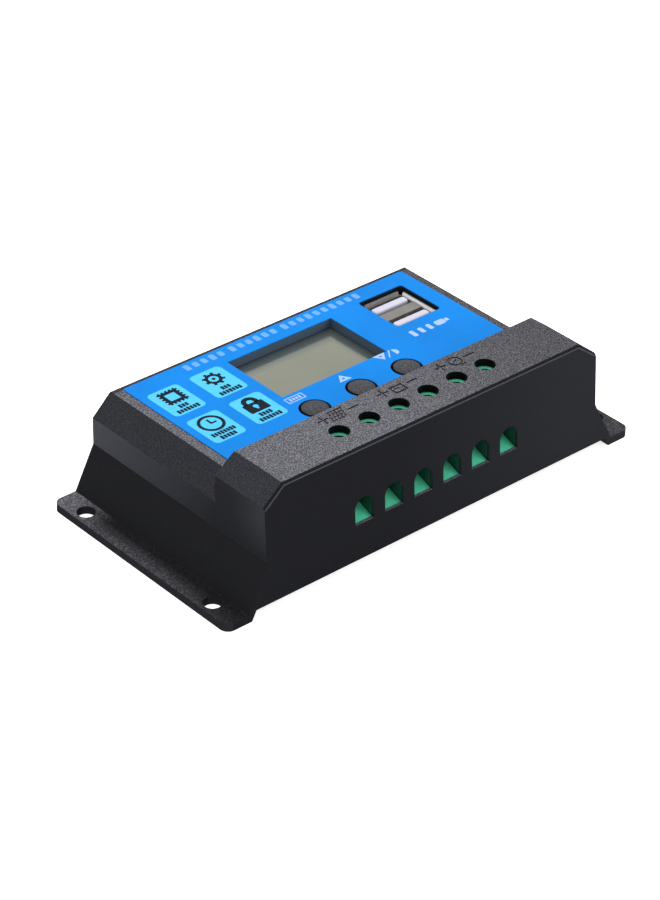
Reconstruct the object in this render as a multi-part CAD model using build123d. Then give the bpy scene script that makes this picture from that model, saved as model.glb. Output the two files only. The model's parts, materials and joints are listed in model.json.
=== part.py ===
from build123d import *
from math import atan2, degrees, hypot
import os

# Solar charge controller with screw terminals, display, three keys and a double charging socket.
# Millimetres. +X runs along the length, -Y is the terminal side, +Z points away from the wall
# or table. The origin is the middle of the footprint on the mounting plane.

# ---------------------------------------------------------------- driving dimensions
LENGTH = 133.8               # over the two mounting ears
DEPTH = 66.8                 # terminal side to back
EAR_THICKNESS = 2.2
EAR_CORNER_RADIUS = 2.4
EAR_HOLE_X = 63.4
EAR_HOLE_Y_FRONT = -24.0
EAR_HOLE_Y_BACK = 24.5
EAR_HOLE_RADIUS = 2.4

# Housing
SKIRT_Z = 2.66               # lower edge of the front and back walls
SHOULDER_Z = 13.8            # the end walls splay outwards below this height
END_X = 54.1                 # vertical part of the end walls
SPLAY = 0.5                  # outward run of the end walls per unit of drop
DECK_Z = 26.6                # surface under the label
RIDGE_Z = 32.9               # top of the raised terminal housing
DECK_SIDE_Z = 21.2           # where the end chamfer of the deck starts
RIDGE_SIDE_Z = 28.4          # where the end chamfer of the ridge starts
DECK_EDGE_X = 48.5
RIDGE_EDGE_X = 48.25
RIDGE_BACK_Y = -13.5
FRONT_LEAN = 2.4             # the front face leans back by this much over its height
WALL = 1.8                   # front, back and end walls
ROOF = 2.0                   # deck and ridge roof
FRONT_EDGE_RADIUS = 1.0
RIDGE_BACK_EDGE_RADIUS = 0.4
DECK_BACK_EDGE_RADIUS = 0.3
BOSS_RADIUS = 3.2            # bosses for the cover's screws
BOSS_BORE_RADIUS = 1.3
BOARD_BOSS_RADIUS = 2.8
BOARD_BOSS_BORE_RADIUS = 1.1

# Openings
POLES = 6
POLE_PITCH = 9.5
SCREW_Y = -22.7
SCREWDRIVER_HOLE_RADIUS = 2.65
ENTRY_WIDTH = 6.0
ENTRY_BOTTOM_Z = 12.3
ENTRY_TOP_Z = 19.2
ENTRY_WALL = 0.8             # the front wall is thinned round the wire entries
ENTRY_POCKET_TOP_Z = 21.5
WINDOW = (-18.1, 16.0, 4.4, 25.5)          # display window: x from, x to, y from, y to
WINDOW_RIM = 1.2
SOCKET = (26.2, 41.2, 11.4, 26.7)          # charging socket cut-out
SOCKET_CORNER_RADIUS = 1.0
KEY_X = (-15.2, -0.15, 14.9)
KEY_Y = -4.4
KEY_HOLE_RADIUS = 4.1

# Marks engraved behind the screwdriver holes
MARK_Y = -16.8
MARK_DEPTH = 0.3
MARK_STROKE = 0.5
FINE_STROKE = 0.38
SIGN_REACH = 1.5             # half the length of the plus and minus strokes

# Label
LABEL_THICKNESS = 0.25
LABEL_X = (-45.8, 46.1)
LABEL_BACK_Y = 31.95
LABEL_CORNER_RADIUS = 0.8

# Cover and board
COVER_Z = 2.7
COVER_THICKNESS = 2.0
COVER_HALF_X = 56.2
COVER_FRONT_Y = -30.9
COVER_BACK_Y = 31.1
CUP_HEIGHT = 1.5             # the cups for the screw heads stand this far above the cover
CUP_RADIUS = 4.4
HEAD_DEPTH = 1.4             # the heads seat this far below the cups' tops
SLOT_ROW_Y = (-16.0, -6.5, 3.0, 12.5, 22.0)
SLOT_COLUMNS = 6
SLOT_PITCH = 14.0
SLOT_LENGTH = 10.0
SLOT_WIDTH = 1.8
BOARD_Z = 6.6                # underside of the circuit board
BOARD_THICKNESS = 1.6
BOARD_HALF_X = 52.5
BOARD_FRONT_Y = -30.2
BOARD_BACK_Y = 30.9

# Screw terminals
BLOCK_TOP_Z = 30.6
BLOCK_BACK_Y = -16.4
BLOCK_GAP = 0.2              # between the blocks and the front wall
CHAMBER_HALF_X = 3.6
CHAMBER_FRONT_Y = -25.9
CHAMBER_BACK_Y = -19.5
CHAMBER_FLOOR_Z = 12.3
CHAMBER_TOP_Z = 27.0
PASSAGE_FLOOR_Z = 13.8
PASSAGE_RAMP = 4.5           # length of the ramp up to the passage's floor
NECK_RADIUS = 2.3
BAR_Z = 18.05
BAR_THICKNESS = 1.0
BAR_HALF_X = 2.2
CONTACT_PIN_X = 1.4
CONTACT_PIN_Y = -18.1
CONTACT_PIN_HALF = 0.4
CAGE_HALF_X = 3.3
CAGE_WALL = 0.8
CAGE_HALF_Y = 2.9
CAGE_FLOOR_Z = 12.6
CAGE_NUT_Z = 19.35
CAGE_NUT_HEIGHT = 1.5
THREAD_RADIUS = 1.45
THREAD_CLEARANCE = 0.05
HEAD_Z = 24.9
HEAD_HEIGHT = 1.8
HEAD_RADIUS = 2.5
SCREW_TURNS = 7
THREAD_PITCH = 0.5

# Display
GLASS_TOP_Z = 24.1
GLASS_THICKNESS = 2.6
GLASS_X = (-21.5, 19.4)
GLASS_Y = (1.95, 27.95)
GUIDE_THICKNESS = 2.8
FRAME_WALL = 1.2
FRAME_GAP = 0.1
FRAME_TOP_Z = 22.7
FRAME_LEG = 3.2
DISPLAY_PIN_Y = 27.3
DISPLAY_PINS = 14
DISPLAY_PIN_PITCH = 2.0
DISPLAY_PIN_RADIUS = 0.28
PIN_LENGTH_BELOW_BOARD = 0.9

# Double charging socket
SHELL_X = (26.9, 40.3)
SHELL_Y = (11.6, 25.7)
SHELL_TOP_Z = 25.85
SHELL_SHEET = 0.4
LIP_HEIGHT = 1.0             # the sheet flares outwards over this height
LIP_FLARE = 0.4
LIP_END_GAP = 0.9            # the lips stop short of the shell's corners
PORT_DEPTH_Z = 14.5
DIVIDER_Y = (17.0, 20.3)
DIVIDER_TOP_Z = 25.3
TONGUE_X = (27.65, 39.05)
TONGUE_FRONT_Y = (12.8, 21.1)
TONGUE_THICKNESS = 2.4
CONTACT_OFFSETS = (-3.5, -1.0, 1.0, 3.5)

# Keys and their push switches
KEY_TRAVEL = 0.4
KEY_RADIUS = 3.45
KEY_FLANGE_RADIUS = 4.7
KEY_RIM_Z = 26.95
KEY_DOME_RISE = 0.85
KEY_STEM_RADIUS = 2.0
SWITCH_HALF = 3.0
SWITCH_HEIGHT = 3.5
PLUNGER_RADIUS = 1.7
PLUNGER_HEIGHT = 2.3         # above the switch's top
PLUNGER_DEPTH = 1.1          # below the switch's top
PLUNGER_CLEARANCE = 0.05

# Power parts
SINK_Y = (-10.4, -8.2)
SINK_HALF_X = 41.0
SINK_TOP_Z = 21.5
MOSFET_X = (-33.0, -11.0, 11.0, 33.0)
MOSFET_HOLE_Z = 18.5
MOSFET_TAB = 1.3
MOSFET_LEG_PITCH = 2.54

# ---------------------------------------------------------------- derived values
HALF_DEPTH = DEPTH / 2
HALF_LENGTH = LENGTH / 2
BOARD_TOP = BOARD_Z + BOARD_THICKNESS
COVER_TOP = COVER_Z + COVER_THICKNESS
COVER_CUP_TOP = COVER_TOP + CUP_HEIGHT
POLE_X = [(i - (POLES - 1) / 2) * POLE_PITCH for i in range(POLES)]
ROOF_INSIDE_Z = RIDGE_Z - ROOF
DECK_INSIDE_Z = DECK_Z - ROOF
LEAN_PER_MM = FRONT_LEAN / (RIDGE_Z - SKIRT_Z)
GLASS_BOTTOM_Z = GLASS_TOP_Z - GLASS_THICKNESS
GUIDE_BOTTOM_Z = GLASS_BOTTOM_Z - GUIDE_THICKNESS
SOCKET_MIDDLE_X = (SHELL_X[0] + SHELL_X[1]) / 2
SWITCH_TOP_Z = BOARD_TOP + SWITCH_HEIGHT
PLUNGER_TOP_Z = SWITCH_TOP_Z + PLUNGER_HEIGHT
COVER_BOSS_XY = [(x, y) for x in (-46.5, 46.5) for y in (-25.5, 26.5)]
BOARD_BOSS_XY = [(x, y) for x in (-46.5, 46.5) for y in (-9.0, 12.0)]


# ---------------------------------------------------------------- shape helpers
def block(x0, x1, y0, y1, z0, z1):
    """An upright box between two corners."""
    return Pos((x0 + x1) / 2, (y0 + y1) / 2, (z0 + z1) / 2) * Box(x1 - x0, y1 - y0, z1 - z0)


def rod(x, y, z0, z1, radius):
    """An upright cylinder."""
    return Pos(x, y, (z0 + z1) / 2) * Cylinder(radius, z1 - z0)


def tube(x, y, z0, z1, outer, inner):
    """An upright hollow cylinder."""
    return rod(x, y, z0, z1, outer) - rod(x, y, z0, z1, inner)


def prism_along_y(points_xz, y0, y1):
    """An outline in the X-Z plane carried from y0 to y1."""
    outline = Polyline(*[(x, y0, z) for x, z in points_xz], close=True)
    return extrude(make_face(outline), amount=y1 - y0, dir=(0, 1, 0))


def prism_along_x(points_yz, x0, x1):
    """An outline in the Y-Z plane carried from x0 to x1."""
    outline = Polyline(*[(x0, y, z) for y, z in points_yz], close=True)
    return extrude(make_face(outline), amount=x1 - x0, dir=(1, 0, 0))


def front_y(z, inwards=0.0):
    """Where the leaning front face is at height z."""
    return -HALF_DEPTH + LEAN_PER_MM * (z - SKIRT_Z) + inwards


def splayed_x(z):
    """Outer face of the end wall below the shoulder."""
    return END_X + (SHOULDER_Z - z) * SPLAY


def mirrored_outline(right_side):
    """Closes an outline given for +X, bottom to top, with its mirror image."""
    return right_side + [(-x, z) for x, z in reversed(right_side)]


def rounded_block(x0, x1, y0, y1, z0, z1, radius):
    """A box with rounded upright edges."""
    plate = block(x0, x1, y0, y1, z0, z1)
    return fillet(plate.edges().filter_by(Axis.Z), radius)


def export(name, shape):
    """Writes one named piece."""
    export_step(shape, f"parts/{name}.step")


# ---------------------------------------------------------------- upper housing
def end_profile(side_z, edge_x, top_z):
    """Outside of the housing seen from the terminal side."""
    return mirrored_outline(
        [
            (splayed_x(SKIRT_Z), SKIRT_Z),
            (END_X, SHOULDER_Z),
            (END_X, side_z),
            (edge_x, top_z),
        ]
    )


def cavity_profile(side_z, edge_x, top_z):
    """Inside of the housing: every face of end_profile moved in by its wall."""
    run, rise = END_X - edge_x, top_z - side_z
    slant = (run**2 + rise**2) ** 0.5
    inside_x = END_X - WALL
    inside_top = top_z - ROOF

    # The chamfer line, moved in by one wall thickness along its normal.
    reach = (rise * END_X + run * side_z) / slant - WALL
    chamfer_low_z = (reach * slant - rise * inside_x) / run
    chamfer_top_x = (reach * slant - run * inside_top) / rise
    return mirrored_outline(
        [
            (splayed_x(0) - WALL, 0),
            (inside_x, SHOULDER_Z),
            (inside_x, chamfer_low_z),
            (chamfer_top_x, inside_top),
        ]
    )


def in_front_of(offset):
    """Everything in front of the leaning front face, moved in by offset."""
    low, high, far = -5.0, RIDGE_Z + 5.0, -HALF_DEPTH - 10.0
    return prism_along_x(
        [(far, low), (front_y(low, offset), low), (front_y(high, offset), high), (far, high)],
        -HALF_LENGTH,
        HALF_LENGTH,
    )


def ear(side):
    """A mounting ear, with the foot of the end wall that stands on it."""
    joined_z = SKIRT_Z + 1.0
    foot = [
        (splayed_x(0) - WALL, 0),
        (HALF_LENGTH, 0),
        (HALF_LENGTH, EAR_THICKNESS),
        (splayed_x(EAR_THICKNESS), EAR_THICKNESS),
        (splayed_x(joined_z), joined_z),
        (splayed_x(joined_z) - WALL, joined_z),
    ]
    plate = prism_along_y([(side * x, z) for x, z in foot], -HALF_DEPTH, HALF_DEPTH)
    outer_corners = plate.edges().filter_by(Axis.Z).group_by(Axis.X)[-1 if side > 0 else 0]
    plate = fillet(outer_corners, EAR_CORNER_RADIUS) - in_front_of(0.0)
    for y in (EAR_HOLE_Y_FRONT, EAR_HOLE_Y_BACK):
        plate -= rod(side * EAR_HOLE_X, y, -1, EAR_THICKNESS + 1, EAR_HOLE_RADIUS)
    return plate


def wire_entry(x, y0, y1):
    """Arched wire entry: flat bottom, round top."""
    radius = ENTRY_WIDTH / 2
    spring_z = ENTRY_TOP_Z - radius
    lower = block(x - radius, x + radius, y0, y1, ENTRY_BOTTOM_Z, spring_z)
    arch = Pos(x, (y0 + y1) / 2, spring_z) * Rot(90, 0, 0) * Cylinder(radius, y1 - y0)
    return lower + arch


def stroke(start, end, width=MARK_STROKE):
    """One engraved line in the ridge's roof."""
    (x0, y0), (x1, y1) = start, end
    length = hypot(x1 - x0, y1 - y0) + width
    turn = degrees(atan2(y1 - y0, x1 - x0))
    middle = Pos((x0 + x1) / 2, (y0 + y1) / 2, RIDGE_Z)
    return middle * Rot(0, 0, turn) * Box(length, width, 2 * MARK_DEPTH)


def outline(corners):
    """Engraved lines round a closed outline."""
    return [stroke(a, b) for a, b in zip(corners, corners[1:] + corners[:1])]


def signs():
    """Plus at the first pole of each pair, minus at the second."""
    cuts = []
    for i, x in enumerate(POLE_X):
        cuts.append(stroke((x - SIGN_REACH, MARK_Y), (x + SIGN_REACH, MARK_Y)))
        if i % 2 == 0:
            cuts.append(stroke((x, MARK_Y - SIGN_REACH), (x, MARK_Y + SIGN_REACH)))
    return cuts


def panel_mark(x, y):
    """A leaning frame with a grid."""
    half_x, half_y, lean = 2.0, 1.85, 0.7
    columns, rows = 4, 3
    cuts = []
    for i in range(columns + 1):
        line_x = x - half_x + 2 * half_x * i / columns
        cuts.append(stroke((line_x - lean, y - half_y), (line_x + lean, y + half_y), FINE_STROKE))
    for i in range(rows + 1):
        part = 2 * i / rows - 1
        left_x, line_y = x - half_x + part * lean, y + part * half_y
        cuts.append(stroke((left_x, line_y), (left_x + 2 * half_x, line_y), FINE_STROKE))
    return cuts


def battery_mark(x, y):
    """A box with a short line in it."""
    left, right, front, back = x - 1.75, x + 1.75, y - 1.3, y + 1.3
    box = [(left, front), (right, front), (right, back), (left, back)]
    return outline(box) + [stroke((x - 0.9, y + 0.3), (x + 0.3, y + 0.3), FINE_STROKE)]


def lamp_mark(x, y):
    """A ring with a small foot and a filament."""
    radius = 1.75
    ring = tube(x, y, RIDGE_Z - MARK_DEPTH, RIDGE_Z + 1, radius + MARK_STROKE / 2, radius - MARK_STROKE / 2)
    foot = stroke((x + 0.2, y - 2.5), (x + 1.5, y - 2.1))
    filament = stroke((x - 0.6, y - 0.3), (x + 0.6, y + 0.3), FINE_STROKE)
    return [ring, foot, filament]


def ridge_marks():
    """Every mark behind the screwdriver holes."""
    panel_x, battery_x, lamp_x = [(POLE_X[i] + POLE_X[i + 1]) / 2 for i in (0, 2, 4)]
    return (
        signs()
        + panel_mark(panel_x - 0.45, MARK_Y)
        + battery_mark(battery_x - 0.2, MARK_Y - 0.7)
        + lamp_mark(lamp_x, MARK_Y - 0.1)
    )


def upper_housing():
    """Moulded top shell with its mounting ears, bosses and all its openings."""
    deck = prism_along_y(end_profile(DECK_SIDE_Z, DECK_EDGE_X, DECK_Z), -HALF_DEPTH, HALF_DEPTH)
    ridge = prism_along_y(
        end_profile(RIDGE_SIDE_Z, RIDGE_EDGE_X, RIDGE_Z), -HALF_DEPTH, RIDGE_BACK_Y
    )
    body = deck + ridge - in_front_of(0.0)

    # Moulded edges.
    def runs_at(edge, y, z):
        middle = edge.center()
        return abs(middle.Y - y) < 0.05 and abs(middle.Z - z) < 0.05

    def on_front_above(edge, z):
        middle = edge.center()
        return middle.Z > z and abs(middle.Y - front_y(middle.Z)) < 0.05

    def round_edges(solid, choose, radius):
        return fillet(solid.edges().filter_by(choose), radius)

    body = round_edges(body, lambda e: on_front_above(e, RIDGE_SIDE_Z), FRONT_EDGE_RADIUS)
    body = round_edges(body, lambda e: runs_at(e, RIDGE_BACK_Y, RIDGE_Z), RIDGE_BACK_EDGE_RADIUS)
    body = round_edges(body, lambda e: runs_at(e, HALF_DEPTH, DECK_Z), DECK_BACK_EDGE_RADIUS)

    deck_cavity = prism_along_y(
        cavity_profile(DECK_SIDE_Z, DECK_EDGE_X, DECK_Z), -HALF_DEPTH - 5, HALF_DEPTH - WALL
    )
    ridge_cavity = prism_along_y(
        cavity_profile(RIDGE_SIDE_Z, RIDGE_EDGE_X, RIDGE_Z), -HALF_DEPTH - 5, RIDGE_BACK_Y - WALL
    )
    body -= (deck_cavity + ridge_cavity) - in_front_of(WALL)
    body += ear(1)
    body += ear(-1)

    # Rim round the display window, down to the glass.
    x0, x1, y0, y1 = WINDOW
    rim = WINDOW_RIM
    body += block(x0 - rim, x1 + rim, y0 - rim, y1 + rim, GLASS_TOP_Z + 0.05, DECK_INSIDE_Z + 0.5)

    # Bosses for the cover screws and the board screws.
    for x, y in COVER_BOSS_XY:
        roof_inside = ROOF_INSIDE_Z if y < RIDGE_BACK_Y else DECK_INSIDE_Z
        body += rod(x, y, COVER_CUP_TOP + 0.1, roof_inside + 0.5, BOSS_RADIUS)
    for x, y in BOARD_BOSS_XY:
        body += rod(x, y, BOARD_TOP, DECK_INSIDE_Z + 0.5, BOARD_BOSS_RADIUS)

    # The front wall is thinner where the terminal blocks stand behind it.
    half = POLES * POLE_PITCH / 2 + 0.3
    pocket = block(-half, half, -HALF_DEPTH, -HALF_DEPTH + 6, BOARD_TOP - 0.5, ENTRY_POCKET_TOP_Z + 0.3)
    body -= pocket - in_front_of(ENTRY_WALL)

    # Openings.
    body -= block(x0, x1, y0, y1, 0, DECK_Z + 1)
    x0, x1, y0, y1 = SOCKET
    body -= rounded_block(x0, x1, y0, y1, DECK_INSIDE_Z - 1, DECK_Z + 1, SOCKET_CORNER_RADIUS)
    for x in KEY_X:
        body -= rod(x, KEY_Y, DECK_INSIDE_Z - 1, DECK_Z + 1, KEY_HOLE_RADIUS)
    for x in POLE_X:
        body -= rod(x, SCREW_Y, ROOF_INSIDE_Z - 1, RIDGE_Z + 1, SCREWDRIVER_HOLE_RADIUS)
        body -= wire_entry(x, -HALF_DEPTH - 1, front_y(ENTRY_TOP_Z, WALL) + 0.5)
    for x, y in COVER_BOSS_XY:
        body -= rod(x, y, 0, COVER_CUP_TOP + 9, BOSS_BORE_RADIUS)
    for x, y in BOARD_BOSS_XY:
        body -= rod(x, y, 0, BOARD_TOP + 7, BOARD_BOSS_BORE_RADIUS)
    for cut in ridge_marks():
        body -= cut
    return body


# ---------------------------------------------------------------- label, cover and fasteners
def front_label():
    """Printed film on the deck, cut out round the display, the keys and the socket."""
    z0, z1 = DECK_Z, DECK_Z + LABEL_THICKNESS
    x0, x1 = LABEL_X
    film = rounded_block(x0, x1, RIDGE_BACK_Y + 0.15, LABEL_BACK_Y, z0, z1, LABEL_CORNER_RADIUS)
    x0, x1, y0, y1 = WINDOW
    film -= block(x0, x1, y0, y1, z0 - 1, z1 + 1)
    x0, x1, y0, y1 = SOCKET
    film -= rounded_block(x0, x1, y0, y1, z0 - 1, z1 + 1, SOCKET_CORNER_RADIUS)
    for x in KEY_X:
        film -= rod(x, KEY_Y, z0 - 1, z1 + 1, KEY_HOLE_RADIUS)
    return film


def bottom_cover():
    """Flat closing plate with cooling slots and four cups for the screw heads."""
    z0, z1 = COVER_Z, COVER_TOP
    half_slot, half_width = SLOT_LENGTH / 2, SLOT_WIDTH / 2
    plate = rounded_block(-COVER_HALF_X, COVER_HALF_X, COVER_FRONT_Y, COVER_BACK_Y, z0, z1, 1.5)
    for x, y in COVER_BOSS_XY:
        plate += rod(x, y, z1 - 0.5, COVER_CUP_TOP, CUP_RADIUS)
    for y in SLOT_ROW_Y:
        for column in range(SLOT_COLUMNS):
            x = (column - (SLOT_COLUMNS - 1) / 2) * SLOT_PITCH
            sides = (x - half_slot, x + half_slot, y - half_width, y + half_width)
            plate -= rounded_block(*sides, z0 - 1, z1 + 1, half_width - 0.05)
    for x, y in COVER_BOSS_XY:
        plate -= rod(x, y, z0 - 1, COVER_CUP_TOP - HEAD_DEPTH, 3.1)
        plate -= rod(x, y, z0 - 1, COVER_CUP_TOP + 1, 1.7)
    return plate


def pan_screw(x, y, seat_z, shaft_top_z, head_radius, head_height, shaft_radius):
    """A pan-head screw driven upwards: its head is below seat_z, with a cross recess."""
    head = rod(x, y, seat_z - head_height, seat_z, head_radius)
    head = fillet(head.edges().group_by(Axis.Z)[0], head_height * 0.45)
    screw = head + rod(x, y, seat_z - 0.1, shaft_top_z, shaft_radius)
    recess_bottom, recess_top = seat_z - head_height - 1, seat_z - head_height * 0.35
    reach, half_width = head_radius * 0.6, 0.3
    screw -= block(x - reach, x + reach, y - half_width, y + half_width, recess_bottom, recess_top)
    screw -= block(x - half_width, x + half_width, y - reach, y + reach, recess_bottom, recess_top)
    return screw


def bottom_cover_screws():
    """The four screws that hold the cover, as one group of solids."""
    seat, tip = COVER_CUP_TOP - HEAD_DEPTH, COVER_CUP_TOP + 7
    return Compound([pan_screw(x, y, seat, tip, 2.7, 1.7, 1.25) for x, y in COVER_BOSS_XY])


def main_board():
    """Circuit board with notches for the cover's screw cups."""
    below, above, inwards, outwards = BOARD_Z - 1, BOARD_TOP + 1, 5.0, 9.0
    board = block(-BOARD_HALF_X, BOARD_HALF_X, BOARD_FRONT_Y, BOARD_BACK_Y, BOARD_Z, BOARD_TOP)
    for x, y in COVER_BOSS_XY:
        x0, x1 = (x - inwards, x + outwards) if x > 0 else (x - outwards, x + inwards)
        y0, y1 = (y - inwards, y + outwards) if y > 0 else (y - outwards, y + inwards)
        board -= block(x0, x1, y0, y1, below, above)
    for x, y in BOARD_BOSS_XY:
        board -= rod(x, y, below, above, 1.3)
    for x in POLE_X:
        for side in (-1, 1):
            board -= rod(x + side * CONTACT_PIN_X, CONTACT_PIN_Y, below, above, 0.75)
    for x in display_pin_x():
        board -= rod(x, DISPLAY_PIN_Y, below, above, 0.45)
    return board


def board_screws():
    """The four screws that hold the board, as one group of solids."""
    tip = BOARD_TOP + 5.5
    return Compound([pan_screw(x, y, BOARD_Z, tip, 2.3, 1.5, 1.05) for x, y in BOARD_BOSS_XY])


# ---------------------------------------------------------------- screw terminals
def terminal_block(poles):
    """Moulded block of two neighbouring poles, with a ramp up to each wire chamber."""
    x0 = POLE_X[poles[0]] - POLE_PITCH / 2
    x1 = POLE_X[poles[-1]] + POLE_PITCH / 2
    behind_pocket = ENTRY_WALL + BLOCK_GAP
    behind_wall = WALL + BLOCK_GAP
    profile = [
        (front_y(BOARD_TOP, behind_pocket), BOARD_TOP),
        (BLOCK_BACK_Y, BOARD_TOP),
        (BLOCK_BACK_Y, BLOCK_TOP_Z - 2.5),
        (BLOCK_BACK_Y - 1.5, BLOCK_TOP_Z),
        (front_y(BLOCK_TOP_Z, behind_wall), BLOCK_TOP_Z),
        (front_y(ENTRY_POCKET_TOP_Z, behind_wall), ENTRY_POCKET_TOP_Z),
        (front_y(ENTRY_POCKET_TOP_Z, behind_pocket), ENTRY_POCKET_TOP_Z),
    ]
    body = prism_along_x(profile, x0 + 0.05, x1 - 0.05)
    for pole in poles:
        x = POLE_X[pole]
        half = ENTRY_WIDTH / 2
        # Wire passage: a ramp rises from just under the sill to the chamber's floor.
        ramp_y, ramp_z = front_y(ENTRY_BOTTOM_Z, behind_pocket), ENTRY_BOTTOM_Z - 0.2
        mouth_y = ramp_y - 1
        passage = [
            (mouth_y, ramp_z),
            (ramp_y, ramp_z),
            (ramp_y + PASSAGE_RAMP, PASSAGE_FLOOR_Z),
            (CHAMBER_FRONT_Y + 1, PASSAGE_FLOOR_Z),
            (CHAMBER_FRONT_Y + 1, ENTRY_TOP_Z),
            (mouth_y, ENTRY_TOP_Z),
        ]
        body -= prism_along_x(passage, x - half, x + half)
        body -= block(
            x - CHAMBER_HALF_X,
            x + CHAMBER_HALF_X,
            CHAMBER_FRONT_Y,
            CHAMBER_BACK_Y,
            CHAMBER_FLOOR_Z,
            CHAMBER_TOP_Z,
        )
        # Slot for the contact bar's legs.
        body -= block(
            x - BAR_HALF_X - 0.1,
            x + BAR_HALF_X + 0.1,
            CHAMBER_BACK_Y - 1,
            CONTACT_PIN_Y + 0.6,
            BOARD_TOP - 1,
            BAR_Z + BAR_THICKNESS,
        )
        body -= rod(x, SCREW_Y, CHAMBER_TOP_Z - 1, BLOCK_TOP_Z + 1, NECK_RADIUS)
        funnel = Pos(x, SCREW_Y, BLOCK_TOP_Z - 0.2) * Cone(NECK_RADIUS, NECK_RADIUS + 0.4, 0.4)
        body -= funnel
    return body


def contact_bar(x):
    """Fixed bar above the wire, bent down into two board pins."""
    bar = block(
        x - BAR_HALF_X,
        x + BAR_HALF_X,
        CHAMBER_FRONT_Y + 0.4,
        CONTACT_PIN_Y + 0.5,
        BAR_Z,
        BAR_Z + BAR_THICKNESS,
    )
    bar += block(
        x - BAR_HALF_X,
        x + BAR_HALF_X,
        CONTACT_PIN_Y - 0.5,
        CONTACT_PIN_Y + 0.5,
        BOARD_TOP + 0.5,
        BAR_Z + 0.2,
    )
    for side in (-1, 1):
        pin_x = x + side * CONTACT_PIN_X
        bar += block(
            pin_x - CONTACT_PIN_HALF,
            pin_x + CONTACT_PIN_HALF,
            CONTACT_PIN_Y - CONTACT_PIN_HALF,
            CONTACT_PIN_Y + CONTACT_PIN_HALF,
            BOARD_Z - PIN_LENGTH_BELOW_BOARD,
            BOARD_TOP + 1,
        )
    return bar


def clamp_cage(x):
    """Steel cage that rises round the contact bar and pulls the wire up against it."""
    top = CAGE_NUT_Z + CAGE_NUT_HEIGHT
    y0, y1 = SCREW_Y - CAGE_HALF_Y, SCREW_Y + CAGE_HALF_Y
    cage = block(x - CAGE_HALF_X, x + CAGE_HALF_X, y0, y1, CAGE_FLOOR_Z, top)
    cage = fillet(cage.edges().filter_by(Axis.Y), 0.6)
    inner = CAGE_HALF_X - CAGE_WALL
    cage -= block(x - inner, x + inner, y0 - 1, y1 + 1, CAGE_FLOOR_Z + 1.0, CAGE_NUT_Z)
    cage -= rod(x, SCREW_Y, CAGE_NUT_Z - 1, top + 1, THREAD_RADIUS + THREAD_CLEARANCE)
    return cage


def terminal_screw(x):
    """Captive slotted screw; it turns in place and drives the cage."""
    tip_z = BAR_Z + BAR_THICKNESS + 0.3
    head_top = HEAD_Z + HEAD_HEIGHT
    screw = rod(x, SCREW_Y, HEAD_Z, head_top, HEAD_RADIUS)
    screw = chamfer(screw.edges().group_by(Axis.Z)[-1], 0.3)
    screw += rod(x, SCREW_Y, tip_z, HEAD_Z + 0.1, THREAD_RADIUS)
    reach, half_width, recess_z = 2.0, 0.4, head_top - 1
    for half_x, half_y in ((reach, half_width), (half_width, reach)):
        screw -= block(x - half_x, x + half_x, SCREW_Y - half_y, SCREW_Y + half_y, recess_z, head_top + 1)
    return screw


# ---------------------------------------------------------------- display
def display_pin_x():
    """The display's pins, along its back edge."""
    middle = (GLASS_X[0] + GLASS_X[1]) / 2
    return [middle + (i - (DISPLAY_PINS - 1) / 2) * DISPLAY_PIN_PITCH for i in range(DISPLAY_PINS)]


def lcd_glass():
    """Display cell of two glass sheets; the back edge of the lower sheet carries the pins."""
    x0, x1 = GLASS_X
    y0, y1 = GLASS_Y
    middle = GLASS_TOP_Z - GLASS_THICKNESS / 2
    lower = block(x0, x1, y0, y1, GLASS_BOTTOM_Z, middle)
    upper = block(x0, x1, y0, y1 - 1.4, middle, GLASS_TOP_Z)
    return lower + upper


def lcd_backlight():
    """Light guide behind the glass."""
    x0, x1 = GLASS_X
    return block(x0, x1, GLASS_Y[0], DISPLAY_PIN_Y - 0.9, GUIDE_BOTTOM_Z, GLASS_BOTTOM_Z)


def lcd_frame():
    """Open frame on four legs that holds the glass and the light guide over the board."""
    x0, x1 = GLASS_X
    y0, y1 = GLASS_Y
    gap, reach, ledge_z = FRAME_GAP, FRAME_GAP + FRAME_WALL, GUIDE_BOTTOM_Z
    frame = block(x0 - reach, x1 + reach, y0 - reach, y1 + reach, ledge_z - 1.2, FRAME_TOP_Z)
    frame -= block(x0 - gap, x1 + gap, y0 - gap, y1 + gap, ledge_z, FRAME_TOP_Z + 1)
    frame -= block(x0 + 3, x1 - 3, y0 + 3, DISPLAY_PIN_Y - 3.0, ledge_z - 2, ledge_z + 1)
    frame -= block(x0 + 3, x1 - 3, DISPLAY_PIN_Y - 0.8, DISPLAY_PIN_Y + 0.75, ledge_z - 2, ledge_z + 1)
    for x in (x0 - reach, x1 + reach - FRAME_LEG):
        for y in (y0 - reach, y1 + reach - FRAME_LEG):
            frame += block(x, x + FRAME_LEG, y, y + FRAME_LEG, BOARD_TOP, ledge_z - 1.0)
    return frame


def lcd_pins():
    """The display's pins, as one group of solids."""
    z0, z1 = BOARD_Z - PIN_LENGTH_BELOW_BOARD, GLASS_BOTTOM_Z
    return Compound([rod(x, DISPLAY_PIN_Y, z0, z1, DISPLAY_PIN_RADIUS) for x in display_pin_x()])


# ---------------------------------------------------------------- double charging socket
def flared_lip(outer, sheet, foot_z):
    """Section of a lip: it leans outwards from the shell's outer face. A negative sheet faces -X."""
    flare = LIP_FLARE if sheet > 0 else -LIP_FLARE
    return [
        (outer - sheet, foot_z),
        (outer, foot_z),
        (outer + flare, SHELL_TOP_Z),
        (outer - sheet + flare, SHELL_TOP_Z),
    ]


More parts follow.
